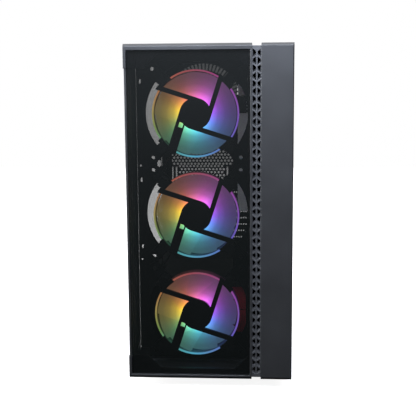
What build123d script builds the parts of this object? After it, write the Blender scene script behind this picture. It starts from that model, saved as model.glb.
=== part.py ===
from build123d import *
import math
import os

os.makedirs("parts", exist_ok=True)

# Desktop computer tower. Millimetres. +X is the viewer's right when facing the front,
# the front faces -Y, +Z is up, and the origin is on the floor under the middle.

# ---- driving dimensions -------------------------------------------------------------
PANEL_WIDTH = 190.0
PANEL_HEIGHT = 386.0
PANEL_DEPTH = 59.5
OVERALL_DEPTH = 360.0
FOOT_HEIGHT = 14.0
FOOT_RADIUS = 11.0
FLOOR_GAP = 12.0
FAN_PITCH = 120.0
FAN_X = -17.5
FAN_HOLE_PITCH = 105.0
FAN_THICKNESS = 25.0
SHEET = 1.0
CLEAR = 0.5

# ---- places that follow from them ---------------------------------------------------
HALF_WIDTH = PANEL_WIDTH / 2
FRONT_Y = -OVERALL_DEPTH / 2
THUMB_HEAD = 7.0
REAR_Y = OVERALL_DEPTH / 2 - THUMB_HEAD - SHEET
PANEL_Z0 = FLOOR_GAP
PANEL_Z1 = FLOOR_GAP + PANEL_HEIGHT
PANEL_MID_Z = (PANEL_Z0 + PANEL_Z1) / 2
PLATE_Y0 = FRONT_Y + PANEL_DEPTH + CLEAR
PLATE_Y1 = PLATE_Y0 + SHEET
CHASSIS_Z0 = FOOT_HEIGHT
CHASSIS_Z1 = PANEL_Z1 - 5.0
CHASSIS_X0 = -89.5
CHASSIS_X1 = 92.5
FAN_ZS = [PANEL_MID_Z - 5.5 + step * FAN_PITCH for step in (-1, 0, 1)]
FAN_Y0 = PLATE_Y0 - FAN_THICKNESS
TRAY_X = 72.0
BOARD_X = 64.0
BOARD_SIZE = 244.0
BOARD_Z0 = 114.0
BOARD_Y1 = REAR_Y - SHEET - 2.0
SHROUD_Z = 109.0

# ---- front panel --------------------------------------------------------------------
RAIL = 5.0
TOP_RAIL = 7.0
STILE = 3.2
EDGE_CHAMFER = 3.0
SIDE_BEVEL = 1.2
WALL = 2.0
GROOVE_X0 = 48.5
GROOVE_X1 = 59.0
GROOVE_DEPTH = 1.5
STRIP_DEPTH = 4.0
GRILLE_ROWS = 44
GRILLE_RIB = 1.9
GRILLE_LEAN = 1.3
GRILLE_END = 4.0
GROOVE_END = 3.0
GLASS_THICKNESS = 4.0
GLASS_SET_BACK = 0.6
CORNER_BLOCK = 27.0
CORNER_CUT = 15.5
WINDOW_INSET = 11.5
VENT_FRONT_X = -93.0
VENT_BACK_X = -89.6
PEG_RADIUS = 2.5
PEG_PLACES = [(-83.5, 24.0), (-83.5, 386.0), (76.0, 24.0), (76.0, 205.0), (76.0, 386.0)]

# ---- intake fans --------------------------------------------------------------------
RING_OUTER = 51.0
RING_WALL = 2.0
RING_LENGTH = 17.0
BRACKET = 4.0
HUB_RADIUS = 18.3
STRUT_WIDTH = 5.5
STRUT_LEAN = 18.0
CABLE_STRUT_WIDTH = 10.5
BLADE_TIP = 48.0
BLADE_COUNT = 9
EAR_HALF = 7.0
POST_RADIUS = 6.0
PAD_HALF = 3.0
SHAFT_RADIUS = 1.5
SHAFT_CLEAR = 0.05
OPENING_RADIUS = 61.0
NECK_HALF = 43.0
EYELET_RADIUS = 2.9
EYELET_BORE = 2.3

# ---- rear panel ---------------------------------------------------------------------
VENT_X = -28.5
VENT_Z = 330.0
IO_X = (26.5, 70.9)
IO_Z = (195.0, 353.7)
SLOT_PITCH = 20.32
SLOT_FIRST_Z = 183.0
SLOT_X = (-36.0, 66.0)
PSU_X = (-79.0, 71.0)
PSU_Z = (17.0, 103.0)
PSU_LENGTH = 140.0
PSU_Y = (REAR_Y - SHEET - PSU_LENGTH, REAR_Y - SHEET)
PSU_FAN_PLACE = (-4.0, (PSU_Y[0] + PSU_Y[1]) / 2)
FILTER_HALF = 58.0

# ---- side panels, feet and controls -------------------------------------------------
SIDE_Y = (PLATE_Y0 + 1.0, REAR_Y + SHEET + 0.2)
SIDE_Z = (CHASSIS_Z0 + 0.4, CHASSIS_Z1 - 0.4)
THUMB_PLACES = [(side * 84.5, z) for side in (-1, 1) for z in (64.0, 343.0)]
FOOT_PLACES = [(x, y) for x in (-77.0, 77.0) for y in (FRONT_Y + 82.0, REAR_Y - 24.0)]
STANDOFF_PLACES = [(BOARD_Y1 - 6.4 - along, BOARD_Z0 + 6.4 + up)
                   for along in (0.0, 157.5, 227.3) for up in (0.0, 157.5, 227.3)]
CONTROL_X = (-56.0, 56.0)
CONTROL_Y = FRONT_Y + 80.0
POWER_X = 38.0
RESET_X = 20.0
USB_XS = (2.0, -16.0)
AUDIO_XS = (-32.0, -44.0)
BUTTONS = {"power_button": (POWER_X, 7.0), "reset_button": (RESET_X, 3.0)}

# ---- board and cooler ---------------------------------------------------------------
CPU_Y = BOARD_Y1 - 92.0
CPU_Z = BOARD_Z0 + 178.0
COOLER_X = (38.0, 60.0)
COOLER_HALF = 46.0
COOLER_FAN_X = (22.0, COOLER_X[0])

# ---- drives -------------------------------------------------------------------------
CADDY_Y = (PLATE_Y1 + 6.0, PLATE_Y1 + 140.0)
CAGE_X = (-34.0, 71.0)
BAY_ZS = ((49.0, 77.5), (78.0, 106.5))

# ---- mains inlet and switch ---------------------------------------------------------
INLET_PLACE = (46.0, 78.0)
SWITCH_PLACE = (46.0, 44.0)
PSU_REAR = REAR_Y - SHEET
ROCKER_TILT = 8.0


# ---- helpers ------------------------------------------------------------------------
def save(node, shape):
    """Write one sub-part, as one solid or as a group of separate solids."""
    solids = shape.solids()
    shape = solids[0] if len(solids) == 1 else Compound(children=list(solids))
    shape.label = node
    export_step(shape, f"parts/{node}.step")


def block(x, y, z):
    """A box between pairs of limits."""
    centre = [(low + high) / 2 for low, high in (x, y, z)]
    return Pos(*centre) * Box(x[1] - x[0], y[1] - y[0], z[1] - z[0])


def upright(y):
    """Sketch plane facing the front: sketch x is X, sketch y is Z, thickness grows to -Y."""
    return Plane(origin=(0, y, 0), x_dir=(1, 0, 0), z_dir=(0, -1, 0))


def sideways(x):
    """Sketch plane facing +X: sketch x is Y, sketch y is Z, thickness grows to +X."""
    return Plane(origin=(x, 0, 0), x_dir=(0, 1, 0), z_dir=(1, 0, 0))


def level(z):
    """Sketch plane facing up."""
    return Plane(origin=(0, 0, z))


def rect(u, v):
    """A rectangle between pairs of limits in a sketch."""
    return Pos((u[0] + u[1]) / 2, (v[0] + v[1]) / 2) * Rectangle(u[1] - u[0], v[1] - v[0])


def raise_from(plane, sketch, thickness):
    """Extrude a sketch drawn in a plane."""
    return extrude(plane * sketch, amount=thickness)


def rod(axis, place, radius, span):
    """A round bar along an axis letter; place holds the two other coordinates in XYZ order."""
    bar = Pos(0, 0, (span[0] + span[1]) / 2) * Cylinder(radius, span[1] - span[0])
    if axis == "X":
        return Pos(0, place[0], place[1]) * (Rot(0, 90, 0) * bar)
    if axis == "Y":
        return Pos(place[0], 0, place[1]) * (Rot(-90, 0, 0) * bar)
    return Pos(place[0], place[1], 0) * bar


def tube(axis, place, outer, inner, span):
    """A round sleeve along an axis letter."""
    return rod(axis, place, outer, span) - rod(axis, place, inner, span)


def spread(low, high, pitch):
    """Evenly pitched places centred between two limits."""
    count = int((high - low) / pitch) + 1
    start = (low + high - (count - 1) * pitch) / 2
    return [start + index * pitch for index in range(count)]


def honeycomb(u, v, pitch, hole):
    """Hexagonal holes in staggered rows filling a sketch region."""
    rows = spread(v[0], v[1], pitch * math.sqrt(3) / 2)
    cells = []
    for index, row in enumerate(rows):
        shift = pitch / 4 if index % 2 else -pitch / 4
        cells += [Pos(column + shift, row) * RegularPolygon(hole / 2, 6)
                  for column in spread(u[0], u[1], pitch)]
    return cells


def slot_grid(u, v, slot, gap):
    """Rectangular slots filling a sketch region."""
    columns = spread(u[0] + slot[0] / 2, u[1] - slot[0] / 2, slot[0] + gap)
    rows = spread(v[0] + slot[1] / 2, v[1] - slot[1] / 2, slot[1] + gap)
    return [Pos(column, row) * Rectangle(*slot) for column in columns for row in rows]


def corners(centre, pitch):
    """The four corners of a square pattern."""
    half = pitch / 2
    return [(centre[0] + across * half, centre[1] + along * half)
            for across in (-1, 1) for along in (-1, 1)]


# ---- front panel --------------------------------------------------------------------
def chamfered_shell(x):
    """Upright block the height of the front panel with bevelled top and bottom front edges."""
    solid = block(x, (FRONT_Y, FRONT_Y + PANEL_DEPTH), (PANEL_Z0, PANEL_Z1))
    edges = solid.edges().filter_by(Axis.X).group_by(Axis.Y)[0]
    return chamfer(edges, EDGE_CHAMFER)


def window_outline():
    """The octagonal opening of the bezel, open to the side vent on the left."""
    low = PANEL_Z0 + WINDOW_INSET
    high = PANEL_Z1 - WINDOW_INSET
    left = -73.0
    right = GROOVE_X0 - WALL - 2.5
    side_low = low + CORNER_CUT
    side_high = high - CORNER_CUT
    points = [
        (left + CORNER_CUT, low), (right - CORNER_CUT, low), (right, side_low),
        (right, side_high), (right - CORNER_CUT, high), (left + CORNER_CUT, high),
        (left, side_high), (-HALF_WIDTH - 1, side_high), (-HALF_WIDTH - 1, side_low),
        (left, side_low),
    ]
    return make_face(Polyline(*points, close=True))


def back_ring():
    """Flange at the back of the front panel, with openings for the fans and the side cover."""
    outline = rect((-HALF_WIDTH + WALL, HALF_WIDTH - 2.4), (PANEL_Z0 + 2.5, PANEL_Z1 - 4.0))
    fans = rect((-HALF_WIDTH - 1, GROOVE_X0 - WALL - 2.5), (PANEL_Z0 + 6.5, PANEL_Z1 - 17.0))
    fans -= rect((-HALF_WIDTH - 1, -78.5), (PANEL_Z0, PANEL_Z0 + 18.0))
    duct = rect((GROOVE_X0, GROOVE_X1 + 6.0), (PANEL_Z0 + 22.0, PANEL_Z1 - 22.0))
    return raise_from(upright(FRONT_Y + PANEL_DEPTH), outline - fans - duct, WALL)


def make_front_base():
    shell = chamfered_shell((-HALF_WIDTH, GROOVE_X0))
    inner_x = (-HALF_WIDTH + STILE, GROOVE_X0 - WALL)
    shell -= block(inner_x, (FRONT_Y - 1, FRONT_Y + PANEL_DEPTH + 1),
                   (PANEL_Z0 + RAIL, PANEL_Z1 - TOP_RAIL))
    shell -= block((-HALF_WIDTH + WALL, inner_x[1]), (FRONT_Y + 2 * RAIL, FRONT_Y + PANEL_DEPTH + 1),
                   (PANEL_Z0 + WALL + CLEAR, PANEL_Z1 - WALL - CLEAR))
    shell -= block((-HALF_WIDTH - 1, inner_x[0]), (FRONT_Y - 1, FRONT_Y + PANEL_DEPTH + 1),
                   (PANEL_Z0 + CORNER_BLOCK, PANEL_Z1 - CORNER_BLOCK))
    bezel_back = FRONT_Y + GLASS_SET_BACK + GLASS_THICKNESS + WALL
    bezel = rect(inner_x, (PANEL_Z0 + RAIL, PANEL_Z1 - TOP_RAIL)) - window_outline()
    shell += raise_from(upright(bezel_back), bezel, WALL)
    shell += back_ring()
    for place in PEG_PLACES:
        shell += rod("Y", place, PEG_RADIUS, (FRONT_Y + PANEL_DEPTH - 1, PLATE_Y1 + 5))
    return shell


def make_side_cover():
    shell = chamfered_shell((GROOVE_X1, HALF_WIDTH))
    corner = shell.edges().filter_by(Axis.Z).group_by(Axis.Y)[0].sort_by(Axis.X)[-1]
    shell = chamfer(corner, SIDE_BEVEL)
    inner = block((GROOVE_X1 + WALL, HALF_WIDTH - WALL),
                  (FRONT_Y + EDGE_CHAMFER, FRONT_Y + PANEL_DEPTH + 1),
                  (PANEL_Z0 + WALL, PANEL_Z1 - WALL))
    room = block((GROOVE_X1 - 1, HALF_WIDTH - WALL),
                 (FRONT_Y + PANEL_DEPTH - WALL, FRONT_Y + PANEL_DEPTH + 1),
                 (PANEL_Z0 + WALL, PANEL_Z1 - WALL))
    return shell - inner - room


def chevron(side, low, high, leans, wide, y):
    """Outline of one hole beside the spine, with sloping ends, on an upright plane."""
    middle = (GROOVE_X0 + GROOVE_X1) / 2
    inner = middle + side * wide[0]
    outer = middle + side * wide[1]
    points = [(inner, low + leans[0]), (outer, low - leans[0]),
              (outer, high + leans[1]), (inner, high - leans[1])]
    return upright(y) * make_face(Polyline(*points, close=True))


def make_grille_strip():
    """Strip with two columns of funnel holes, divided by ribs that lean in and out by turns."""
    front = FRONT_Y + GROOVE_DEPTH
    outline = rect((GROOVE_X0, GROOVE_X1), (PANEL_Z0 + GROOVE_END, PANEL_Z1 - GROOVE_END))
    strip = raise_from(upright(front + STRIP_DEPTH), outline, STRIP_DEPTH)
    step = (PANEL_HEIGHT - 2 * GROOVE_END - 2 * GRILLE_END) / GRILLE_ROWS
    for row in range(GRILLE_ROWS):
        low = PANEL_Z0 + GROOVE_END + GRILLE_END + row * step + GRILLE_RIB / 2
        high = low + step - GRILLE_RIB
        lean = GRILLE_LEAN if row % 2 else -GRILLE_LEAN
        for side in (-1, 1):
            mouth = chevron(side, low, high, (lean, lean), (0.8, 4.5), front - 0.1)
            throat = chevron(side, low + 2.2, high - 0.3, (lean, lean), (1.2, 3.9),
                             front + STRIP_DEPTH + 0.1)
            strip -= loft([mouth, throat])
    return strip


def make_front_glass():
    pane = block((-HALF_WIDTH + STILE, GROOVE_X0 - WALL),
                 (FRONT_Y + GLASS_SET_BACK, FRONT_Y + GLASS_SET_BACK + GLASS_THICKNESS),
                 (PANEL_Z0 + RAIL, PANEL_Z1 - TOP_RAIL))
    return chamfer(pane.faces().sort_by(Axis.Y)[0].edges(), 0.4)


def make_side_vent():
    """Slotted strip down the left side, leaning in towards the back, with a bead at the front."""
    bead = FRONT_Y + GLASS_SET_BACK + GLASS_THICKNESS
    back = FRONT_Y + PANEL_DEPTH - WALL
    z_span = (PANEL_Z0 + CORNER_BLOCK, PANEL_Z1 - CORNER_BLOCK)
    thick = 1.4
    points = [
        (VENT_FRONT_X - 1.2, FRONT_Y + GLASS_SET_BACK),
        (-HALF_WIDTH + STILE, FRONT_Y + GLASS_SET_BACK), (-HALF_WIDTH + STILE, bead),
        (VENT_FRONT_X, bead), (VENT_BACK_X, back), (VENT_BACK_X, FRONT_Y + PANEL_DEPTH),
        (VENT_BACK_X - thick, FRONT_Y + PANEL_DEPTH), (VENT_BACK_X - thick, back),
        (VENT_FRONT_X - 1.2, bead),
    ]
    strip = raise_from(level(z_span[0]), make_face(Polyline(*points, close=True)),
                       z_span[1] - z_span[0])
    slots = slot_grid((bead + 4, back - 4), (z_span[0] + 6, z_span[1] - 6), (9.0, 3.2), 3.0)
    return strip - raise_from(sideways(VENT_FRONT_X - 5), Sketch() + slots, 10)


# ---- intake fans --------------------------------------------------------------------
def fan_corner(angle):
    """Rear ear with its bore, the post beside the ring and the pad over it, in fan coordinates."""
    reach = FAN_HOLE_PITCH / math.sqrt(2)
    ear = Pos((RING_OUTER + reach) / 2, 0) * Rectangle(reach - RING_OUTER + 4, 2 * EAR_HALF)
    ear += Pos(reach, 0) * Circle(EAR_HALF)
    post = Pos(RING_OUTER + POST_RADIUS - 1, 0) * Circle(POST_RADIUS)
    pad = Pos(RING_OUTER - 1, 0) * Rectangle(2 * PAD_HALF, 18.0) + post
    bore = Pos(reach, 0) * Circle(EYELET_RADIUS)
    turn = Rot(0, 0, angle)
    return [turn * shape for shape in (ear - Circle(RING_OUTER), bore, post - Circle(RING_OUTER),
                                       pad - Circle(BLADE_TIP + 0.4))]


def strut(width, turn):
    """Spoke whose outer edge is tangent to the hub, in fan coordinates."""
    inner = HUB_RADIUS - width
    bar = Pos(-30.5, inner + width / 2) * Rectangle(61.0, width)
    return Rot(0, 0, turn - STRUT_LEAN) * bar


def make_fan_frame(z):
    """Black bracket: hub disc, four pinwheel struts, and a pad, post and rear ear per corner."""
    limit = Circle(RING_OUTER + 3.0)
    bracket = Circle(HUB_RADIUS)
    for turn in (0, -90, -180):
        bracket += strut(STRUT_WIDTH, turn) & limit
    cable_strut = strut(CABLE_STRUT_WIDTH, -270) & limit
    lit_window = Rot(0, 0, -270 - STRUT_LEAN) * (Pos(-17.5, HUB_RADIUS - 6.3) * Rectangle(6.0, 5.2))
    window_bar = Rot(0, 0, -270 - STRUT_LEAN + 50) * (Pos(-19.2, -5.7) * Rectangle(12.0, 0.9))
    bracket += cable_strut - lit_window + (window_bar & lit_window)
    ears = Sketch()
    posts = Sketch()
    bores = Sketch()
    for angle in (45, 135, 225, 315):
        ear, bore, post, pad = fan_corner(angle)
        ears += ear
        posts += post
        bores += bore
        bracket += pad
    place = Pos(FAN_X, z)
    frame = raise_from(upright(FAN_Y0 + BRACKET), place * bracket, BRACKET)
    frame += raise_from(upright(PLATE_Y0), place * (ears - bores), BRACKET)
    frame += raise_from(upright(PLATE_Y0), place * posts, FAN_THICKNESS)
    frame += rod("Y", (FAN_X, z), 4.0, (FAN_Y0, FAN_Y0 + 15.0))
    return frame - rod("Y", (FAN_X, z), SHAFT_RADIUS + SHAFT_CLEAR, (FAN_Y0 + 2.0, FAN_Y0 + 16.0))


def make_fan_ring(z):
    """Translucent light ring, held between the struts in front and the plate behind."""
    ring = tube("Y", (FAN_X, z), RING_OUTER, RING_OUTER - RING_WALL,
                (FAN_Y0 + BRACKET, FAN_Y0 + BRACKET + RING_LENGTH))
    lips = ring.edges().filter_by(GeomType.CIRCLE).group_by(Axis.Y)[0]
    return chamfer(lips, 0.4)


def make_fan_rotor(z):
    """Hub cup with its shaft and swept blades, moulded in one piece."""
    front = FAN_Y0 + BRACKET + 1.0
    back = FAN_Y0 + BRACKET + RING_LENGTH - 1.0
    hub = rod("Y", (FAN_X, z), 17.2, (front, back))
    hub -= rod("Y", (FAN_X, z), 15.4, (front - 1, back - 2.5))
    hub += rod("Y", (FAN_X, z), SHAFT_RADIUS, (FAN_Y0 + 3.0, back - 1.0))
    zone = tube("Y", (FAN_X, z), BLADE_TIP, 16.6, (front + 0.5, back - 0.5))
    slab = Box(40.0, 1.5, 36.0)
    for index in range(BLADE_COUNT):
        blade = Pos(34.0, 0, 0) * (Rot(22, 0, 0) * slab)
        blade = Rot(0, 360 / BLADE_COUNT * index, 0) * blade
        hub += (Pos(FAN_X, (front + back) / 2, z) * blade) & zone
    return hub


def make_fan_stators():
    """Wound motor stator and light board of each fan, around its bearing tube."""
    group = Part()
    for z in FAN_ZS:
        group += tube("Y", (FAN_X, z), 12.5, 4.0, (FAN_Y0 + BRACKET + 1.5, FAN_Y0 + 13.0))
        group += tube("Y", (FAN_X, z), 15.0, 4.0, (FAN_Y0 + BRACKET, FAN_Y0 + BRACKET + 1.5))
    return group


def make_fan_eyelets():
    """Hollow rivets through each fan's ears and the chassis plate, flared at both ends."""
    group = Part()
    flare = 3.8
    ear_front = PLATE_Y0 - BRACKET
    for z in FAN_ZS:
        for place in corners((FAN_X, z), FAN_HOLE_PITCH):
            body = rod("Y", place, EYELET_RADIUS, (ear_front, PLATE_Y1))
            body += rod("Y", place, flare, (ear_front - 0.6, ear_front))
            body += rod("Y", place, flare, (PLATE_Y1, PLATE_Y1 + 0.6))
            group += body - rod("Y", place, EYELET_BORE, (ear_front - 1, PLATE_Y1 + 1))
    return group


def bend_radii(route):
    """The largest even arcs that the runs of a lead allow, one for each corner."""
    points = [Vector(*point) for point in route]
    runs = [after - before for before, after in zip(points, points[1:])]
    radii = []
    for before, after in zip(runs, runs[1:]):
        half_turn = math.radians(before.get_angle(after)) / 2
        radii.append(0.45 * min(before.length, after.length) / math.tan(half_turn))
    return radii


def make_fan_cables():
    """Lead of each fan, from its lower left strut through the plate's opening to a plug."""
    group = Part()
    radius = 1.1
    for z in FAN_ZS:
        drop = 56.0 if z == FAN_ZS[0] else 66.0
        route = [
            (FAN_X - 28.1, FAN_Y0 + BRACKET, z - 44.5), (FAN_X - 29.1, FAN_Y0 + 17.0, z - 45.5),
            (FAN_X - 31.5, FAN_Y0 + 28.0, z - 48.0), (FAN_X - 42.5, FAN_Y0 + 36.0, z - drop),
        ]
        path = FilletPolyline(*route, radius=bend_radii(route))
        start = Plane(origin=path @ 0, z_dir=path % 0)
        group += sweep(start * Circle(radius), path=path)
        plug = Box(8.0, 6.0, 10.0)
        group += Plane(origin=path @ 1, z_dir=path % 1) * (Pos(0, 0, 5.0) * plug)
    return group


# ---- chassis sheet metal ------------------------------------------------------------
def make_front_plate():
    """Steel plate that carries the three fans, with joined round openings and flanges."""
    outline = rect((CHASSIS_X0, CHASSIS_X1), (CHASSIS_Z0 + SHEET, CHASSIS_Z1 - SHEET))
    neck = rect((FAN_X - NECK_HALF, FAN_X + NECK_HALF), (FAN_ZS[0], FAN_ZS[-1]))
    cuts = [neck]
    for z in FAN_ZS:
        cuts.append(Pos(FAN_X, z) * Circle(OPENING_RADIUS))
        cuts += [Pos(*place) * Circle(EYELET_RADIUS) for place in corners((FAN_X, z), FAN_HOLE_PITCH)]
        cuts.append(Pos(FAN_X - 46.0, z - 60.0) * SlotOverall(8.6, 4.3, rotation=90))
    cuts += [Pos(*place) * Circle(PEG_RADIUS + SHAFT_CLEAR) for place in PEG_PLACES]
    cuts += [Pos(CHASSIS_X0 + 4.5, z) * SlotOverall(5.0, 2.0, rotation=90)
             for z in (158.0, 240.0, 357.5)]
    cuts += [Pos(CHASSIS_X0 + 4.0, z) * Circle(1.1) for z in (142.0, 257.0)]
    cuts.append(rect((GROOVE_X0 + 1, GROOVE_X1 + 5), (60.0, 340.0)))
    tab = rect((FAN_X + 58.5, FAN_X + 62.0), (FAN_ZS[0] - 30.0, FAN_ZS[0] + 30.0))
    plate = raise_from(upright(PLATE_Y1), outline - cuts + tab, SHEET)
    flange = 9.0
    for x in (CHASSIS_X0, CHASSIS_X1 - SHEET):
        plate += block((x, x + SHEET), (PLATE_Y1, PLATE_Y1 + flange),
                       (CHASSIS_Z0 + SHEET, CHASSIS_Z1 - SHEET))
    return plate


def radial_slots():
    """Rings of radial slots around the rear fan place."""
    slots = []
    for inner, outer, count, width in ((47, 57, 60, 3.4), (33, 43, 44, 2.8), (19, 29, 28, 2.4)):
        bar = Pos((inner + outer) / 2, 0) * Rectangle(outer - inner, width)
        slots += [Pos(VENT_X, VENT_Z) * (Rot(0, 0, 360 / count * index) * bar)
                  for index in range(count)]
    return slots


def make_rear_panel():
    outline = rect((CHASSIS_X0, CHASSIS_X1), (CHASSIS_Z0 + SHEET, CHASSIS_Z1 - SHEET))
    cuts = radial_slots()
    cuts += [Pos(*place) * Circle(2.2) for place in corners((VENT_X, VENT_Z), FAN_HOLE_PITCH)]
    cuts.append(rect(IO_X, IO_Z))
    cuts += [rect(SLOT_X, (SLOT_FIRST_Z - index * SLOT_PITCH - 8.0,
                           SLOT_FIRST_Z - index * SLOT_PITCH + 8.0)) for index in range(4)]
    cuts.append(rect((PSU_X[0] + 4, PSU_X[1] - 4), (PSU_Z[0] + 4, PSU_Z[1] - 4)))
    cuts += honeycomb((-80, 20), (231, 258), 5.5, 4.0)
    cuts += honeycomb((-66, 2), (200, 229), 5.5, 4.0)
    cuts += [rect((x - 1.3, x + 1.3), (201.0, 228.0)) for x in (-78.0, -72.0, 8.0)]
    cuts += [Pos(*place) * Circle(1.8) for place in THUMB_PLACES]
    panel = raise_from(upright(REAR_Y), outline - cuts, SHEET)
    flange = 9.0
    for x in (CHASSIS_X0, CHASSIS_X1 - SHEET):
        panel += block((x, x + SHEET), (REAR_Y - SHEET - flange, REAR_Y - SHEET),
                       (CHASSIS_Z0 + SHEET, CHASSIS_Z1 - SHEET))
    return panel


def make_base_plate():
    outline = rect((CHASSIS_X0, CHASSIS_X1), (PLATE_Y0, REAR_Y))
    px, py = PSU_FAN_PLACE
    vents = slot_grid((px - 50, px + 50), (py - 55, py + 55), (18.0, 4.0), 4.0)
    cuts = vents + [Pos(*place) * Circle(2.2) for place in FOOT_PLACES]
    plate = raise_from(level(CHASSIS_Z0), outline - cuts, SHEET)
    rail_y = (py - 70, REAR_Y)
    for side in (-1, 1):
        x = px + side * (FILTER_HALF + 1.0)
        rail = block(sorted((x, x + side * SHEET)), rail_y, (CHASSIS_Z0 - 5, CHASSIS_Z0))
        lip = block(sorted((x, x - side * 4)), rail_y, (CHASSIS_Z0 - 6, CHASSIS_Z0 - 5))
        plate += rail + lip + block(sorted((x, x + side * SHEET)), rail_y,
                                    (CHASSIS_Z0 - 6, CHASSIS_Z0 - 5))
    return plate


def make_top_panel():
    outline = rect((CHASSIS_X0, CHASSIS_X1), (PLATE_Y0, REAR_Y))
    vents = slot_grid((-72, 74), (-46, 148), (18.0, 4.5), 4.0)
    controls = rect((CONTROL_X[0] + 4, CONTROL_X[1] - 4), (CONTROL_Y - 8, CONTROL_Y + 8))
    return raise_from(level(CHASSIS_Z1 - SHEET), outline - vents - controls, SHEET)


def make_tray():
    """Motherboard tray with a cable grommet slot column and a cut-out behind the processor."""
    outline = rect((PLATE_Y1, REAR_Y - SHEET), (CHASSIS_Z0 + SHEET, CHASSIS_Z1 - SHEET))
    cuts = [rect((-98, -84), (z - 22, z + 22)) for z in (160.0, 235.0, 310.0)]
    cuts.append(rect((48, 128), (250, 335)))
    cuts += [Pos(*place) * Circle(1.5) for place in STANDOFF_PLACES]
    return raise_from(sideways(TRAY_X), outline - cuts, SHEET)


def make_shroud():
    """Cover over the power supply and drive cage: a top sheet, a left wall and cable cut-outs."""
    top = rect((CHASSIS_X0 + SHEET, TRAY_X), (PLATE_Y1, REAR_Y - SHEET))
    cuts = [rect((44, 64), (y - 16, y + 16)) for y in (-60.0, 20.0)]
    cuts += slot_grid((-70, 30), (40, 140), (18.0, 4.0), 5.0)
    shroud = raise_from(level(SHROUD_Z - SHEET), top - cuts, SHEET)
    shroud += block((CHASSIS_X0 + SHEET, CHASSIS_X0 + 2 * SHEET), (PLATE_Y1, REAR_Y - SHEET),
                    (CHASSIS_Z0 + SHEET, SHROUD_Z - SHEET))
    return shroud


def make_slot_covers():
    """Ventilated expansion slot covers, each with a screw tab."""
    group = Part()
    for index in range(4):
        z = SLOT_FIRST_Z - index * SLOT_PITCH
        face = rect((SLOT_X[0] - 5, SLOT_X[1] + 4), (z - 9.2, z + 9.2))
        for row in (z - SLOT_PITCH / 4, z + SLOT_PITCH / 4):
            face -= slot_grid((SLOT_X[0] + 4, SLOT_X[1] - 8), (row - 1.2, row + 1.2), (1.8, 2.4), 1.9)
        cover = raise_from(upright(REAR_Y - SHEET), face, SHEET)
        tab = block((SLOT_X[0] - 6, SLOT_X[0] - 5), (REAR_Y - 13, REAR_Y - SHEET), (z - 9.2, z + 9.2))
        cover += tab - rod("X", (REAR_Y - 8, z), 1.7, (SLOT_X[0] - 8, SLOT_X[0]))
        group += cover
    return group


def make_slot_screws():
    group = Part()
    for index in range(4):
        place = (REAR_Y - 8, SLOT_FIRST_Z - index * SLOT_PITCH)
        screw = rod("X", place, 3.2, (SLOT_X[0] - 8.2, SLOT_X[0] - 6))
        screw += rod("X", place, 1.7, (SLOT_X[0] - 6, SLOT_X[0] - 2))
        group += screw - rod("X", place, 1.2, (SLOT_X[0] - 9, SLOT_X[0] - 7))
    return group


def make_feet():
    group = Part()
    for x, y in FOOT_PLACES:
        foot = Pos(x, y, FOOT_HEIGHT / 2) * Cylinder(FOOT_RADIUS, FOOT_HEIGHT)
        foot = chamfer(foot.edges().group_by(Axis.Z)[0], 1.5)
        group += foot + rod("Z", (x, y), 2.2, (FOOT_HEIGHT, FOOT_HEIGHT + SHEET))
    return group


# ---- side panels and thumbscrews ----------------------------------------------------
def rear_flange(side):
    """Vertical strip behind the rear panel that the thumbscrews pass through."""
    inner = side * 79.0
    outer = side * (HALF_WIDTH - 1.0)
    face = rect(sorted((inner, outer)), SIDE_Z)
    face -= [Pos(*place) * Circle(2.3) for place in THUMB_PLACES if place[0] * side > 0]
    return raise_from(upright(REAR_Y + SHEET + 0.2), face, SHEET)


def make_left_glass():
    outer = -HALF_WIDTH + 0.6
    pane = block((outer, outer + GLASS_THICKNESS), (SIDE_Y[0], REAR_Y - 6.0), SIDE_Z)
    return chamfer(pane.faces().sort_by(Axis.X)[0].edges(), 0.5)


def make_left_bracket():
    """Steel strip bonded behind the glass's rear edge, with the rear flange."""
    outer = -HALF_WIDTH + 1.0
    strip = block((outer, outer + SHEET), (REAR_Y - 6.0, SIDE_Y[1]), SIDE_Z)
    backing = block((outer + GLASS_THICKNESS - 0.4, outer + GLASS_THICKNESS + 0.4),
                    (REAR_Y - 30.0, REAR_Y - 6.0 + SHEET), SIDE_Z)
    joggle = block((outer, outer + GLASS_THICKNESS + 0.4), (REAR_Y - 6.0, REAR_Y - 5.0), SIDE_Z)
    return strip + backing + joggle + rear_flange(-1)


def make_right_panel():
    outer = HALF_WIDTH - 1.0
    skin = block((outer - SHEET, outer), SIDE_Y, SIDE_Z)
    return skin + rear_flange(1)


def make_thumbscrew(place):
    """Knurled captive screw, its shank running in the rear panel's clearance hole."""
    seat = REAR_Y + SHEET + 0.3
    head = rod("Y", place, 5.5, (seat, OVERALL_DEPTH / 2))
    flutes = [Pos(5.9 * math.cos(turn), 5.9 * math.sin(turn)) * Circle(0.8)
              for turn in [math.radians(30 * index) for index in range(12)]]
    head -= raise_from(upright(OVERALL_DEPTH / 2 + 1), Pos(*place) * (Sketch() + flutes), 6.5)
    head -= block((place[0] - 3.5, place[0] + 3.5), (OVERALL_DEPTH / 2 - 1.2, OVERALL_DEPTH / 2 + 1),
                  (place[1] - 0.6, place[1] + 0.6))
    return head + rod("Y", place, 1.75, (REAR_Y - 1.0, seat))


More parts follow.
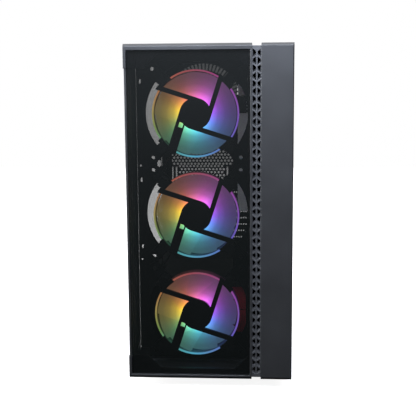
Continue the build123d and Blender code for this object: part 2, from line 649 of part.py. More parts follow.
# ---- controls on top ----------------------------------------------------------------
def make_control_panel():
    """Plastic strip let into the top panel around the buttons and sockets."""
    top = Pos(0, CONTROL_Y) * RectangleRounded(CONTROL_X[1] - CONTROL_X[0], 22.0, 4.0)
    plug = rect((CONTROL_X[0] + 4.2, CONTROL_X[1] - 4.2), (CONTROL_Y - 7.8, CONTROL_Y + 7.8))
    cuts = [Pos(x, CONTROL_Y) * Circle(radius + 0.08) for x, radius in BUTTONS.values()]
    cuts += [Pos(x, CONTROL_Y) * Rectangle(13.4, 6.0) for x in USB_XS]
    cuts += [Pos(x, CONTROL_Y) * Circle(3.1) for x in AUDIO_XS]
    panel = raise_from(level(CHASSIS_Z1), top - cuts, 1.6)
    return panel + raise_from(level(CHASSIS_Z1 - 4.0), plug - cuts, 4.0)


def make_button(x, radius):
    """Round push button with a retaining collar under the control panel."""
    top = CHASSIS_Z1 + 2.6
    cap = rod("Z", (x, CONTROL_Y), radius, (CHASSIS_Z1 - 6.5, top))
    cap = fillet(cap.edges().group_by(Axis.Z)[-1], 0.5)
    return cap + rod("Z", (x, CONTROL_Y), radius + 1.0, (CHASSIS_Z1 - 6.5, CHASSIS_Z1 - 4.6))


def make_front_sockets():
    """Metal shells of the two USB sockets, each with a tongue, and the two audio jacks."""
    group = Part()
    depth = 14.0
    top = CHASSIS_Z1 + 1.2
    for x in USB_XS:
        shell = block((x - 6.7, x + 6.7), (CONTROL_Y - 3.0, CONTROL_Y + 3.0), (top - depth, top))
        shell -= block((x - 6.2, x + 6.2), (CONTROL_Y - 2.5, CONTROL_Y + 2.5), (top - depth + 1, top + 1))
        group += shell + block((x - 5.5, x + 5.5), (CONTROL_Y + 0.6, CONTROL_Y + 2.0),
                               (top - depth + 1, top - 1.5))
    for x in AUDIO_XS:
        group += tube("Z", (x, CONTROL_Y), 3.1, 1.8, (top - depth, top))
    return group


def make_control_board():
    top = CHASSIS_Z1 + 1.2 - 14.0
    board = block((CONTROL_X[0] + 6, CONTROL_X[1] - 6), (CONTROL_Y - 9, CONTROL_Y + 9), (top - 1.6, top))
    for x, _radius in BUTTONS.values():
        board += block((x - 3, x + 3), (CONTROL_Y - 3, CONTROL_Y + 3), (top, top + 3.6))
    return board


# ---- inside the case ----------------------------------------------------------------
def make_motherboard():
    board = block((BOARD_X, BOARD_X + 1.6), (BOARD_Y1 - BOARD_SIZE, BOARD_Y1),
                  (BOARD_Z0, BOARD_Z0 + BOARD_SIZE))
    for place in STANDOFF_PLACES:
        board -= rod("X", place, 1.9, (BOARD_X - 1, BOARD_X + 3))
    return board


def make_standoffs():
    """Threaded spacers between the tray and the board, each with its screw."""
    group = Part()
    for place in STANDOFF_PLACES:
        spacer = rod("X", place, 3.0, (BOARD_X + 1.6, TRAY_X))
        spacer += rod("X", place, 1.5, (TRAY_X, TRAY_X + SHEET + 1))
        spacer += rod("X", place, 1.6, (BOARD_X, BOARD_X + 1.6))
        group += spacer + rod("X", place, 3.2, (BOARD_X - 2.0, BOARD_X))
    return group


def make_processor():
    socket = block((BOARD_X - 2.5, BOARD_X), (CPU_Y - 22, CPU_Y + 22), (CPU_Z - 22, CPU_Z + 22))
    lid = block((COOLER_X[1], BOARD_X - 2.5), (CPU_Y - 16, CPU_Y + 16), (CPU_Z - 16, CPU_Z + 16))
    return socket + lid


def make_heatsink():
    """Low cooler: a solid base under a field of straight fins."""
    sink = block((COOLER_X[1] - 5, COOLER_X[1]), (CPU_Y - COOLER_HALF, CPU_Y + COOLER_HALF),
                 (CPU_Z - COOLER_HALF, CPU_Z + COOLER_HALF))
    for z in spread(CPU_Z - COOLER_HALF + 1, CPU_Z + COOLER_HALF - 1, 5.0):
        sink += block((COOLER_X[0], COOLER_X[1] - 5), (CPU_Y - COOLER_HALF, CPU_Y + COOLER_HALF),
                      (z - 0.7, z + 0.7))
    return sink


def make_cooler_frame():
    """Square fan housing with a bored hub held by three spokes against the fins."""
    outline = Pos(CPU_Y, CPU_Z) * RectangleRounded(2 * COOLER_HALF, 2 * COOLER_HALF, 4)
    bore = Pos(CPU_Y, CPU_Z) * Circle(COOLER_HALF - 2.5)
    frame = raise_from(sideways(COOLER_FAN_X[0]), outline - bore, COOLER_FAN_X[1] - COOLER_FAN_X[0])
    hub = Pos(CPU_Y, CPU_Z) * Circle(14.0)
    spokes = [Pos(CPU_Y, CPU_Z) * (Rot(0, 0, angle) * (Pos(28, 0) * Rectangle(36, 4)))
              for angle in (30, 150, 270)]
    frame += raise_from(sideways(COOLER_FAN_X[1] - 3), hub + spokes, 3)
    return frame - rod("X", (CPU_Y, CPU_Z), SHAFT_RADIUS + SHAFT_CLEAR,
                       (COOLER_FAN_X[1] - 4, COOLER_FAN_X[1] + 1))


def make_cooler_rotor():
    front = COOLER_FAN_X[0] + 1.5
    back = COOLER_FAN_X[1] - 4.0
    rotor = rod("X", (CPU_Y, CPU_Z), 16.0, (front, back))
    rotor += rod("X", (CPU_Y, CPU_Z), SHAFT_RADIUS, (back, COOLER_FAN_X[1] - 0.5))
    zone = tube("X", (CPU_Y, CPU_Z), COOLER_HALF - 4.0, 15.5, (front, back))
    for index in range(7):
        blade = Pos(0, 0, 29) * (Rot(0, 0, 35) * Box(1.4, 17.0, 32.0))
        blade = Rot(360 / 7 * index, 0, 0) * blade
        rotor += (Pos((front + back) / 2, CPU_Y, CPU_Z) * blade) & zone
    return rotor


def make_memory():
    """Two memory modules in their sockets, forward of the processor."""
    group = Part()
    for y in (CPU_Y - 53.0, CPU_Y - 62.0):
        z_span = (BOARD_Z0 + 68.0, BOARD_Z0 + 201.0)
        module = block((BOARD_X - 34, BOARD_X), (y - 0.7, y + 0.7), z_span)
        module += block((BOARD_X - 36, BOARD_X - 8), (y - 2.8, y + 2.8), z_span)
        group += module + block((BOARD_X - 6, BOARD_X), (y - 3, y + 3), (z_span[0] - 4, z_span[1] + 4))
    return group


def make_regulator_heatsink():
    """Finned aluminium block over the voltage regulator, between processor and rear sockets."""
    y_span = (BOARD_Y1 - 44.0, BOARD_Y1 - 30.0)
    z_span = (BOARD_Z0 + 124.0, BOARD_Z0 + 184.0)
    sink = block((BOARD_X - 34, BOARD_X), y_span, z_span)
    for z in spread(z_span[0] + 5, z_span[1] - 5, 7.0):
        sink -= block((BOARD_X - 35, BOARD_X - 14), (y_span[0] + 2.0, y_span[1] + 1), (z - 1.5, z + 1.5))
    return sink


def make_rear_sockets():
    """Metal shells of the board's own sockets, reaching through the shield."""
    group = Part()
    reach = 3.4
    for z, half in ((210, 7), (228, 7), (246, 7), (264, 8), (289, 7), (308, 10), (331, 12)):
        shell = block((BOARD_X - 17, BOARD_X), (BOARD_Y1 - 20, BOARD_Y1 + reach), (z - half, z + half))
        mouth = block((BOARD_X - 15.6, BOARD_X - 1.4), (BOARD_Y1 - 12, BOARD_Y1 + reach + 1),
                      (z - half + 1.4, z + half - 1.4))
        group += shell - mouth
    return group


def make_io_shield():
    """Thin stamped shield that closes the rear socket opening around the sockets."""
    face = rect(IO_X, IO_Z)
    face -= rect((BOARD_X - 17.3, BOARD_X + 0.3), (200.0, 347.0))
    ledge = rect((IO_X[0] - 1.5, IO_X[1] + 0.5), (IO_Z[0] - 1.5, IO_Z[1] + 1.5))
    ledge -= rect((BOARD_X - 17.3, BOARD_X + 0.3), (200.0, 347.0))
    shield = raise_from(upright(REAR_Y), face, SHEET)
    return shield + raise_from(upright(REAR_Y - SHEET), ledge, 0.5)


def make_board_connectors():
    """Power sockets, storage sockets and expansion slots soldered to the board."""
    group = Part()
    edge = BOARD_Y1 - BOARD_SIZE
    group += block((BOARD_X - 12, BOARD_X), (edge + 2, edge + 12), (BOARD_Z0 + 100, BOARD_Z0 + 152))
    group += block((BOARD_X - 12, BOARD_X), (BOARD_Y1 - 50, BOARD_Y1 - 30), (BOARD_Z0 + 232,
                                                                          BOARD_Z0 + 242))
    for index in (1, 2, 3):
        z = SLOT_FIRST_Z - index * SLOT_PITCH
        group += block((BOARD_X - 11, BOARD_X), (BOARD_Y1 - 150, BOARD_Y1 - 60), (z - 3.7, z + 3.7))
    for index in range(2):
        z = BOARD_Z0 + 40 + index * 16
        group += block((BOARD_X - 9, BOARD_X), (edge + 2, edge + 18), (z - 6, z + 6))
    return group


def make_drive_cage():
    """Open-ended steel box under the shroud with side rails for two caddies."""
    y_span = (CADDY_Y[0] + 4.0, CADDY_Y[1] + 2.0)
    outer = rect(CAGE_X, (CHASSIS_Z0 + SHEET, SHROUD_Z - SHEET))
    inner = rect((CAGE_X[0] + SHEET, CAGE_X[1] - SHEET), (48.2, SHROUD_Z - 2 * SHEET))
    lower = rect((CAGE_X[0] + SHEET, CAGE_X[1] - SHEET), (CHASSIS_Z0 + 2 * SHEET, 47.2))
    cage = raise_from(upright(y_span[1]), outer - inner - lower, y_span[1] - y_span[0])
    windows = slot_grid((y_span[0] + 10, y_span[1] - 10), (48, 100), (24.0, 10.0), 8.0)
    return cage - raise_from(sideways(CAGE_X[0] - 1), Sketch() + windows, SHEET + 2)


def make_drive_caddies():
    """Two moulded trays with tall front handles."""
    group = Part()
    for low, high in BAY_ZS:
        x_span = (CAGE_X[0] + 1.2, CAGE_X[1] - 1.2)
        tray = block(x_span, (CADDY_Y[0] + 5, CADDY_Y[1]), (low, low + 13))
        tray -= block((x_span[0] + 2.5, x_span[1] - 2.5), (CADDY_Y[0] + 7, CADDY_Y[1] - 3),
                      (low + 2.5, low + 14))
        face = rect(x_span, (low, high - 0.4))
        face -= rect((x_span[0] + 6, x_span[0] + 9), (low + 6, high - 6))
        group += tray + raise_from(upright(CADDY_Y[0] + 5), face, 5.0)
    return group


def make_drive():
    low = BAY_ZS[1][0] + 2.5
    drive = block((-16.0, 53.9), (CADDY_Y[0] + 14, CADDY_Y[0] + 114.2), (low, low + 9.5))
    return fillet(drive.edges().filter_by(Axis.Z), 2.0)


# ---- power supply -------------------------------------------------------------------
def make_psu_housing():
    """Steel box, open underneath for its fan and perforated at the back."""
    z_mid = (PSU_Z[0] + PSU_Z[1]) / 2
    box = block(PSU_X, PSU_Y, PSU_Z)
    box -= block((PSU_X[0] + 1.2, PSU_X[1] - 1.2), (PSU_Y[0] + 1.2, PSU_Y[1] - 1.2),
                 (PSU_Z[0] + 1.2, PSU_Z[1] - 1.2))
    box -= rod("Z", PSU_FAN_PLACE, 56.0, (PSU_Z[0] - 1, PSU_Z[0] + 2))
    vents = honeycomb((PSU_X[0] + 12, 22.0), (z_mid - 32, z_mid + 32), 8.5, 7.0)
    box -= raise_from(upright(PSU_REAR + 1), Sketch() + vents, 4)
    inlet = rect((INLET_PLACE[0] - 13.8, INLET_PLACE[0] + 13.8), (INLET_PLACE[1] - 10.0,
                                                                INLET_PLACE[1] + 10.0))
    switch = rect((SWITCH_PLACE[0] - 7.0, SWITCH_PLACE[0] + 7.0), (SWITCH_PLACE[1] - 10.5,
                                                                 SWITCH_PLACE[1] + 10.5))
    return box - raise_from(upright(PSU_REAR + 1), inlet + switch, 4)


def make_psu_circuit():
    """Circuit board of the supply with its transformer and heatsinks, and the fan's bearer."""
    px, py = PSU_FAN_PLACE
    top = PSU_Z[1] - 1.2
    board = block((PSU_X[0] + 6, 26.0), (PSU_Y[0] + 6, PSU_Y[1] - 8), (top - 8, top - 6))
    for x in (-66, 16):
        for y in (PSU_Y[0] + 16, PSU_Y[0] + 86):
            board += rod("Z", (x, y), 2.5, (top - 6, top))
    board += block((-54, -22), (py - 30, py + 10), (top - 40, top - 8))
    board += block((-8, -2), (py - 50, py + 45), (top - 42, top - 8))
    board += block((8, 14), (py - 50, py + 45), (top - 42, top - 8))
    return board


def make_psu_grille():
    """Wire guard over the fan: rings, two crossed wires and a middle disc with the bearing."""
    px, py = PSU_FAN_PLACE
    z = PSU_Z[0] + 1.2
    guard = Sketch() + [Circle(radius + 1.0) - Circle(radius - 1.0) for radius in (56.5, 47, 37, 27)]
    guard += Circle(17.0)
    guard += [Rot(0, 0, angle) * Rectangle(114, 2.0) for angle in (45, 135)]
    grille = raise_from(level(z), Pos(px, py) * guard, 1.6)
    grille += rod("Z", (px, py), 4.0, (z + 1.6, z + 7.0))
    return grille - rod("Z", (px, py), SHAFT_RADIUS + SHAFT_CLEAR, (z + 0.8, z + 8.0))


def make_psu_rotor():
    px, py = PSU_FAN_PLACE
    low = PSU_Z[0] + 1.2 + 3.2
    rotor = rod("Z", (px, py), 19.0, (low, low + 18)) - rod("Z", (px, py), 16.0, (low - 1, low + 15))
    rotor += rod("Z", (px, py), SHAFT_RADIUS, (low - 1.4, low + 16))
    zone = tube("Z", (px, py), 53.0, 18.5, (low, low + 18))
    for index in range(7):
        blade = Rot(0, 0, 360 / 7 * index) * (Pos(36, 0, 0) * (Rot(38, 0, 0) * Box(40.0, 24.0, 1.6)))
        rotor += (Pos(px, py, low + 9) * blade) & zone
    return rotor


def make_psu_inlet():
    """Recessed mains inlet with three flat pins."""
    x, z = INLET_PLACE
    body = block((x - 13.8, x + 13.8), (PSU_REAR - 22, PSU_REAR), (z - 10.0, z + 10.0))
    body += block((x - 15.5, x + 15.5), (PSU_REAR, PSU_REAR + 1.6), (z - 11.6, z + 11.6))
    recess = block((x - 12.0, x + 12.0), (PSU_REAR - 17, PSU_REAR + 3), (z - 8.0, z + 8.0))
    recess = chamfer(recess.edges().filter_by(Axis.Y).group_by(Axis.Z)[-1], 4.0)
    body -= recess
    for dx, dz in ((-7.0, -1.5), (0.0, 2.5), (7.0, -1.5)):
        body += block((x + dx - 1.0, x + dx + 1.0), (PSU_REAR - 17, PSU_REAR - 2), (z + dz - 2.0,
                                                                                 z + dz + 2.0))
    return body


def make_switch_frame():
    """Surround of the mains switch with a pivot pin across it."""
    x, z = SWITCH_PLACE
    body = block((x - 7.0, x + 7.0), (PSU_REAR - 14, PSU_REAR), (z - 10.5, z + 10.5))
    body += block((x - 8.5, x + 8.5), (PSU_REAR, PSU_REAR + 1.6), (z - 12.0, z + 12.0))
    body -= block((x - 5.5, x + 5.5), (PSU_REAR - 12, PSU_REAR + 3), (z - 9.2, z + 9.2))
    return body + rod("X", (PSU_REAR - 4.0, z), 1.2, (x - 6.0, x + 6.0))


def make_rocker():
    """Rocker with a shallow V face, tipped to one end of its throw."""
    z = SWITCH_PLACE[1]
    half = 8.3
    points = [(-5.5, -half + 2.5), (5.0, -half), (3.2, 0.0), (5.0, half), (-5.5, half - 2.5)]
    profile = make_face(Polyline(*points, close=True)) - Circle(1.2 + SHAFT_CLEAR)
    body = raise_from(sideways(SWITCH_PLACE[0] - 5.2), profile, 10.4)
    return Pos(0, PSU_REAR - 4.0, z) * (Rot(ROCKER_TILT, 0, 0) * body)


# ---- dust filters -------------------------------------------------------------------
def make_top_filter():
    """Magnetic framed mesh that lies on the top panel."""
    x_span = (-78.0, 80.0)
    y_span = (-52.0, 154.0)
    low = CHASSIS_Z1 + 0.2
    rim = rect(x_span, y_span) - rect((x_span[0] + 6, x_span[1] - 6), (y_span[0] + 6, y_span[1] - 6))
    ribs = [rect((-6, -3), y_span), rect(x_span, (48, 51))]
    frame = raise_from(level(low), rim + ribs, 1.4)
    mesh = rect(x_span, y_span) - slot_grid((-70, 72), (-44, 146), (7.0, 3.4), 1.6)
    return frame + raise_from(level(low + 0.3), mesh, 0.5)


def make_psu_filter():
    """Sliding framed mesh under the power supply, with a pull tab at the back."""
    px, py = PSU_FAN_PLACE
    x_span = (px - FILTER_HALF, px + FILTER_HALF)
    y_span = (py - 66.0, REAR_Y - 1.0)
    low = CHASSIS_Z0 - 4.6
    rim = rect(x_span, y_span) - rect((x_span[0] + 7, x_span[1] - 7), (y_span[0] + 7, y_span[1] - 7))
    frame = raise_from(level(low), rim + rect((px - 2, px + 2), y_span), 3.6)
    mesh = rect(x_span, y_span) - slot_grid((x_span[0] + 8, x_span[1] - 8),
                                            (y_span[0] + 8, y_span[1] - 8), (7.0, 3.4), 1.6)
    frame += raise_from(level(low + 1.4), mesh, 0.5)
    return frame + block((px - 16, px + 16), (REAR_Y - 1.0, REAR_Y + 5.0), (low, low + 3.6))


# ---- write every node ---------------------------------------------------------------
save("front_base", make_front_base())
save("front_side_cover", make_side_cover())
save("front_grille_strip", make_grille_strip())
save("front_glass", make_front_glass())
save("front_side_vent", make_side_vent())
for number, fan_z in enumerate(FAN_ZS, start=1):
    save(f"fan_frame_{number}", make_fan_frame(fan_z))
    save(f"fan_ring_{number}", make_fan_ring(fan_z))
    save(f"fan_rotor_{number}", make_fan_rotor(fan_z))
save("fan_stators", make_fan_stators())
save("fan_eyelets", make_fan_eyelets())
save("fan_cables", make_fan_cables())
save("front_plate", make_front_plate())
save("rear_panel", make_rear_panel())
save("base_plate", make_base_plate())
save("top_panel", make_top_panel())
save("motherboard_tray", make_tray())
save("psu_shroud", make_shroud())
save("slot_covers", make_slot_covers())
save("slot_cover_screws", make_slot_screws())
save("feet", make_feet())
save("left_glass_panel", make_left_glass())
save("left_panel_bracket", make_left_bracket())
save("right_side_panel", make_right_panel())
for name, thumb_place in zip(("left_lower", "left_upper", "right_lower", "right_upper"), THUMB_PLACES):
    save(f"thumbscrew_{name}", make_thumbscrew(thumb_place))
save("control_panel", make_control_panel())
for button, (button_x, button_radius) in BUTTONS.items():
    save(button, make_button(button_x, button_radius))
save("front_sockets", make_front_sockets())
save("control_board", make_control_board())
save("motherboard", make_motherboard())
save("board_standoffs", make_standoffs())
save("processor", make_processor())
save("cooler_heatsink", make_heatsink())
save("cooler_fan_frame", make_cooler_frame())
save("cooler_rotor", make_cooler_rotor())
save("memory_modules", make_memory())
save("regulator_heatsink", make_regulator_heatsink())
save("rear_sockets", make_rear_sockets())
save("io_shield", make_io_shield())
save("board_connectors", make_board_connectors())
save("drive_cage", make_drive_cage())
save("drive_caddies", make_drive_caddies())
save("solid_state_drive", make_drive())
save("psu_housing", make_psu_housing())
save("psu_circuit", make_psu_circuit())
save("psu_fan_grille", make_psu_grille())
save("psu_rotor", make_psu_rotor())
save("psu_inlet", make_psu_inlet() + make_switch_frame())
save("psu_switch_rocker", make_rocker())
save("top_dust_filter", make_top_filter())
save("psu_dust_filter", make_psu_filter())
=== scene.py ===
import math

import bmesh
import bpy
from mathutils import Matrix, Vector


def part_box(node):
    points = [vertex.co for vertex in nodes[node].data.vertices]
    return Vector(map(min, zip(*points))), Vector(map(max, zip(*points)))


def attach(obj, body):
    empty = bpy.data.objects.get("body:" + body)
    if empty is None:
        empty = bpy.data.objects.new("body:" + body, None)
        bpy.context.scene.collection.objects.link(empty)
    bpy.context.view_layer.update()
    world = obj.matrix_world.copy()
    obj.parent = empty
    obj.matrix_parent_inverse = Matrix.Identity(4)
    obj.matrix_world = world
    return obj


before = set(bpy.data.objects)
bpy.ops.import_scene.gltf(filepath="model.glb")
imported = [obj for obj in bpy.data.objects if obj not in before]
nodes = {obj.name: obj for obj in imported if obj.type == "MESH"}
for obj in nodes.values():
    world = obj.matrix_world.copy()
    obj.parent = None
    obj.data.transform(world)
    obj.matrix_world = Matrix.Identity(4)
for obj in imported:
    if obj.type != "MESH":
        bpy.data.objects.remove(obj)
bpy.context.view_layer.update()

# ---- sizes taken from the frame ------------------------------------------------------
GLASS_LOW, GLASS_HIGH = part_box("front_glass")
FRONT_Y = GLASS_LOW.y
FLOOR_TO_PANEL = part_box("front_base")[0].z
RINGS = [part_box(f"fan_ring_{number}") for number in (1, 2, 3)]
FAN_CENTRES = [(low + high) / 2 for low, high in RINGS]
REAR_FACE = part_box("rear_panel")[1].y
BLADE_RADIUS = (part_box("fan_rotor_1")[1].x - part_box("fan_rotor_1")[0].x) / 2


# ---- camera --------------------------------------------------------------------------
def make_camera():
    """A long lens in front of the tower, a little right of its middle and below its top."""
    yaw = math.radians(-3.55)
    pitch = math.radians(8.40)
    roll = math.radians(-0.37)
    aside, away, rise = 0.0545, 0.8957, 0.3349
    forward = Vector((math.sin(yaw) * math.cos(pitch), math.cos(yaw) * math.cos(pitch),
                      -math.sin(pitch)))
    level = Vector((math.cos(yaw), -math.sin(yaw), 0))
    upright = level.cross(forward)
    right = math.cos(roll) * level + math.sin(roll) * upright
    up = math.cos(roll) * upright - math.sin(roll) * level
    data = bpy.data.cameras.new("camera")
    data.lens = 69.23
    data.sensor_width = 36
    camera = bpy.data.objects.new("camera", data)
    bpy.context.scene.collection.objects.link(camera)
    turn = Matrix((right, up, -forward)).transposed().to_4x4()
    place = Vector((aside, FRONT_Y - away, FLOOR_TO_PANEL + rise))
    camera.matrix_world = Matrix.Translation(place) @ turn
    bpy.context.scene.camera = camera


# ---- node helpers --------------------------------------------------------------------
def node(tree, kind, **settings):
    made = tree.nodes.new(kind)
    for key, value in settings.items():
        setattr(made, key, value)
    return made


def maths(tree, operation, *values):
    """A math node; each value is a socket or a number."""
    made = node(tree, "ShaderNodeMath", operation=operation)
    for socket, value in zip(made.inputs, values):
        if isinstance(value, (int, float)):
            socket.default_value = value
        else:
            tree.links.new(value, socket)
    return made.outputs[0]


def axes(tree, vector):
    """The X, Y and Z sockets of a vector socket."""
    parts = node(tree, "ShaderNodeSeparateXYZ")
    tree.links.new(vector, parts.inputs[0])
    return parts.outputs["X"], parts.outputs["Y"], parts.outputs["Z"]


def ramp(tree, value, stops):
    """A colour ramp fed by a socket; stops are (place, colour)."""
    made = node(tree, "ShaderNodeValToRGB")
    elements = made.color_ramp.elements
    while len(elements) > 1:
        elements.remove(elements[-1])
    elements[0].position = stops[0][0]
    elements[0].color = (*stops[0][1], 1)
    for place, colour in stops[1:]:
        elements.new(place).color = (*colour, 1)
    tree.links.new(value, made.inputs["Fac"])
    return made.outputs["Color"]


def grey(level):
    return (level, level, level)


def grey_ramp(tree, value, stops):
    """A ramp of neutral greys; stops are (place, level)."""
    return ramp(tree, value, [(place, grey(level)) for place, level in stops])


def mottle(tree, cloud, dark, light):
    """Two colours blended over the middle of a noise."""
    return ramp(tree, cloud, ((0.3, dark), (0.7, light)))


def mix(tree, factor, first, second, kind="MIX"):
    """Blend two colours; each input is a socket or a value."""
    made = node(tree, "ShaderNodeMix", data_type="RGBA", blend_type=kind)
    fraction, colour_a, colour_b, colour_out = 0, 6, 7, 2
    for index, value in ((fraction, factor), (colour_a, first), (colour_b, second)):
        if isinstance(value, bpy.types.NodeSocket):
            tree.links.new(value, made.inputs[index])
        elif index == fraction:
            made.inputs[index].default_value = value
        else:
            made.inputs[index].default_value = (*value, 1)
    return made.outputs[colour_out]


def srgb(red, green, blue):
    """A colour given as 0 to 255 screen values, as linear light."""
    return tuple(((value / 255 + 0.055) / 1.055) ** 2.4 if value > 10 else value / 255 / 12.92
                 for value in (red, green, blue))


def noise(tree, place, scale, detail=2.0):
    made = node(tree, "ShaderNodeTexNoise")
    made.inputs["Scale"].default_value = scale
    made.inputs["Detail"].default_value = detail
    tree.links.new(place, made.inputs["Vector"])
    return made.outputs["Fac"]


def start(name):
    """A new node material: its tree, its principled shader and its object coordinates."""
    material = bpy.data.materials.new(name)
    material.use_nodes = True
    tree = material.node_tree
    shader = tree.nodes["Principled BSDF"]
    place = node(tree, "ShaderNodeTexCoord").outputs["Object"]
    return material, tree, shader, place


def bump(tree, shader, height, strength):
    """Relief of a fifth of a millimetre, scaled by strength."""
    made = node(tree, "ShaderNodeBump")
    made.inputs["Strength"].default_value = strength
    made.inputs["Distance"].default_value = 0.0002
    tree.links.new(height, made.inputs["Height"])
    tree.links.new(made.outputs["Normal"], shader.inputs["Normal"])
    return made


def surface(name, dark, light, gloss, grain=900.0, relief=0.15, metal=0.0, rounded=0.0,
            shine=0.5):
    """Mottled colour over a fine moulded or sprayed grain; the noises pick a roughness about
    the upper of the two gloss values, and rounded is the radius drawn along the edges."""
    material, tree, shader, place = start(name)
    cloud = noise(tree, place, scale=22.0, detail=4.0)
    fine = noise(tree, place, scale=grain)
    tree.links.new(mottle(tree, cloud, dark, light), shader.inputs["Base Color"])
    both = maths(tree, "ADD", cloud, maths(tree, "MULTIPLY_ADD", fine, 0.35, 0.5))
    rough = maths(tree, "MULTIPLY_ADD", both, gloss[1] - gloss[0], gloss[0])
    tree.links.new(rough, shader.inputs["Roughness"])
    shader.inputs["Metallic"].default_value = metal
    shader.inputs["Specular IOR Level"].default_value = shine
    height = bump(tree, shader, fine, relief)
    if rounded:
        edge = node(tree, "ShaderNodeBevel", samples=4)
        edge.inputs["Radius"].default_value = rounded
        tree.links.new(edge.outputs["Normal"], height.inputs["Normal"])
    return material


# ---- lit fan materials ---------------------------------------------------------------
HUB_HUES = (
    (0.00, srgb(150, 90, 245)), (0.07, srgb(185, 75, 235)), (0.15, srgb(235, 105, 240)),
    (0.20, srgb(240, 100, 215)), (0.26, srgb(228, 105, 165)), (0.34, srgb(232, 112, 92)),
    (0.42, srgb(240, 165, 55)), (0.47, srgb(248, 205, 50)), (0.52, srgb(225, 205, 70)),
    (0.60, srgb(140, 220, 135)), (0.67, srgb(118, 240, 205)), (0.75, srgb(95, 222, 242)),
    (0.83, srgb(95, 185, 250)), (0.92, srgb(105, 135, 250)), (1.00, srgb(150, 90, 245)),
)
RIM_HUES = (
    (0.00, srgb(135, 82, 195)), (0.10, srgb(160, 66, 168)), (0.20, srgb(165, 60, 112)),
    (0.28, srgb(168, 68, 74)), (0.38, srgb(185, 98, 58)), (0.48, srgb(175, 150, 78)),
    (0.57, srgb(110, 150, 75)), (0.64, srgb(80, 175, 150)), (0.73, srgb(85, 185, 215)),
    (0.82, srgb(92, 140, 215)), (0.91, srgb(108, 95, 205)), (1.00, srgb(135, 82, 195)),
)
# Light out of the blades by share of their radius: a dark hub cap, a bright root, dim tips.
BLADE_GLOW = ((0.0, 0.004), (0.335, 0.01), (0.37, 1.0), (0.42, 0.76), (0.55, 0.32),
              (0.72, 0.12), (0.88, 0.05), (1.0, 0.035))
# Light out of a ring by share of its depth, from its front edge back.
RING_GLOW = ((0.0, 1.0), (0.05, 0.7), (0.16, 0.10), (1.0, 0.02))


def turn_round(tree, across, up):
    """Angle round an axis as 0 to 1, anticlockwise from the right."""
    angle = maths(tree, "ARCTAN2", up, across)
    return maths(tree, "FRACT", maths(tree, "ADD", maths(tree, "DIVIDE", angle, 2 * math.pi), 1.0))


def distance(tree, across, up):
    square = maths(tree, "ADD", maths(tree, "MULTIPLY", across, across),
                   maths(tree, "MULTIPLY", up, up))
    return maths(tree, "SQRT", square)


def from_centre(tree, place, centre):
    """A point's offsets from a fan's axis, to the right and up, and its plain Y."""
    across, back, up = axes(tree, place)
    return (maths(tree, "SUBTRACT", across, centre.x), maths(tree, "SUBTRACT", up, centre.z),
            back)


def lit_blades(number, centre):
    """Frosted blades lit from the hub: vivid inside and dim towards the tips, greyed by a faint
    grey-green glow over the whole disc and hub cap, which is painted sheen standing in for lamp
    light.
    """
    material, tree, shader, place = start(f"lit_blades_{number}")
    across, up, _back = from_centre(tree, place, centre)
    hue = ramp(tree, turn_round(tree, across, up), HUB_HUES)
    out = maths(tree, "DIVIDE", distance(tree, across, up), BLADE_RADIUS)
    glow = grey_ramp(tree, out, BLADE_GLOW)
    # Painted sheen: a faint grey-green glow added over all the blades and the hub cap, standing in
    # for lamp light on them.
    painted_sheen = mix(tree, 0.95, hue, (0.019, 0.022, 0.020))
    lit = mix(tree, 1.0, mix(tree, 1.0, hue, glow, "MULTIPLY"), painted_sheen, "ADD")
    tree.links.new(lit, shader.inputs["Emission Color"])
    shader.inputs["Emission Strength"].default_value = 3.3
    shader.inputs["Alpha"].default_value = 0.8
    streaks = noise(tree, place, scale=60.0, detail=3.0)
    tint = mottle(tree, streaks, (0.02, 0.02, 0.021), (0.03, 0.03, 0.032))
    tree.links.new(tint, shader.inputs["Base Color"])
    tree.links.new(maths(tree, "MULTIPLY_ADD", streaks, 0.25, 0.8), shader.inputs["Roughness"])
    return material


def lit_ring(number, centre):
    """Frosted light guide round the fan, brighter on its front edge."""
    material, tree, shader, place = start(f"lit_ring_{number}")
    across, up, back = from_centre(tree, place, centre)
    hue = ramp(tree, turn_round(tree, across, up), RIM_HUES)
    cloud = noise(tree, place, scale=45.0)
    tinted = mix(tree, mottle(tree, cloud, grey(0.0), grey(0.2)), hue, (0.2, 0.2, 0.22))
    low, high = RINGS[number - 1]
    depth = maths(tree, "DIVIDE", maths(tree, "SUBTRACT", back, low.y), high.y - low.y)
    lit = mix(tree, 1.0, tinted, grey_ramp(tree, depth, RING_GLOW), "MULTIPLY")
    tree.links.new(lit, shader.inputs["Emission Color"])
    shader.inputs["Emission Strength"].default_value = 1.9
    tree.links.new(mix(tree, 0.85, hue, grey(0.03)), shader.inputs["Base Color"])
    tree.links.new(maths(tree, "MULTIPLY_ADD", cloud, 0.3, 0.5), shader.inputs["Roughness"])
    return material


# ---- glass and satin -----------------------------------------------------------------
def tinted_glass(name, opacity):
    """Smoked pane: a dark greenish film over what is behind it, with a soft gloss."""
    material, tree, shader, place = start(name)
    smear = noise(tree, place, scale=6.0, detail=3.0)
    film = mottle(tree, smear, (0.0010, 0.0030, 0.0022), (0.0014, 0.004, 0.003))
    tree.links.new(film, shader.inputs["Base Color"])
    tree.links.new(maths(tree, "MULTIPLY_ADD", smear, 0.03, 0.5), shader.inputs["Roughness"])
    shader.inputs["Alpha"].default_value = opacity
    return material


SATIN_METAL = 0.9


def satin(name):
    """The satin metallic paint of the front panel, with its edges softened."""
    return surface(name, (0.150, 0.152, 0.156), (0.165, 0.168, 0.172), (0.32, 0.41),
                   grain=1400, relief=0.08, metal=SATIN_METAL, rounded=0.0006)


def blacken(material, mask_of, black):
    """Blacken a finish where mask_of(tree, X, Y, Z) is 1; gives its tree, shader and mask."""
    tree = material.node_tree
    shader = tree.nodes["Principled BSDF"]
    mask = mask_of(tree, *axes(tree, node(tree, "ShaderNodeTexCoord").outputs["Object"]))
    painted = shader.inputs["Base Color"].links[0].from_socket
    tree.links.new(mix(tree, mask, painted, black), shader.inputs["Base Color"])
    return tree, shader, mask


